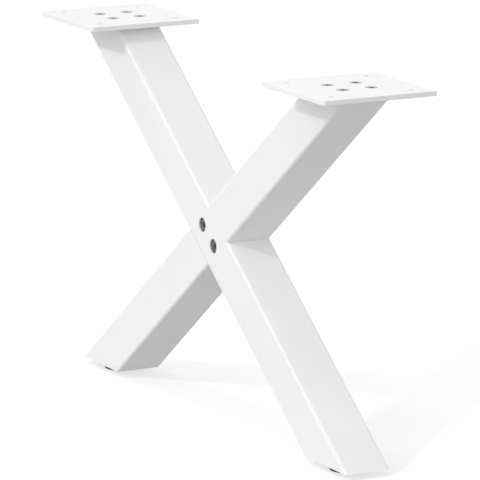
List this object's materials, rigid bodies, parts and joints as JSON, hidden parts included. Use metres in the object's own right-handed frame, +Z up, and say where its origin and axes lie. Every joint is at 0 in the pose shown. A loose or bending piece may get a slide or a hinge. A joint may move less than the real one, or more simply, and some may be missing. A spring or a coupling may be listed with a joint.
{
  "type": "x shaped table leg",
  "caption": "X shaped steel leg for a low table or bench: crossed square tubes, two top plates with screw holes, levelling feet.",
  "frame": {"origin": "on the floor, midway between the two feet and midway between front and rear", "axes": "+X from the left foot to the right foot, +Y to the rear, +Z up"},
  "size_m": [0.5, 0.1, 0.305],
  "materials": {
    "white_coat": "smooth satin white powder coat",
    "zinc": "zinc plated steel",
    "dark_steel": "blackened steel",
    "black_plastic": "matt black moulded plastic"
  },
  "bodies": {
    "frame": {"leg_a_tube": "white_coat", "leg_b_tube": "white_coat", "leg_a_top_cap": "white_coat", "leg_b_top_cap": "white_coat", "leg_a_bottom_cap": "white_coat", "leg_b_bottom_cap": "white_coat", "leg_a_lap_plate": "white_coat", "leg_b_lap_plate": "white_coat", "upper_bolt_sleeve": "zinc", "lower_bolt_sleeve": "zinc", "upper_cross_bolt": "dark_steel", "lower_cross_bolt": "dark_steel", "upper_cross_nut": "zinc", "lower_cross_nut": "zinc", "leg_a_foot_nut": "zinc", "leg_b_foot_nut": "zinc", "left_top_plate": "white_coat", "right_top_plate": "white_coat", "left_plate_screws": "zinc", "right_plate_screws": "zinc"},
    "left_foot": {"left_foot_stud": "zinc", "left_foot_pad": "black_plastic"},
    "right_foot": {"right_foot_stud": "zinc", "right_foot_pad": "black_plastic"}
  },
  "joints": [
    {"name": "left_foot_screw", "type": "slide", "parent": "frame", "child": "left_foot", "axis": [0, 0, 1], "range_m": [-0.01, 0]},
    {"name": "right_foot_screw", "type": "slide", "parent": "frame", "child": "right_foot", "axis": [0, 0, 1], "range_m": [-0.01, 0]}
  ]
}
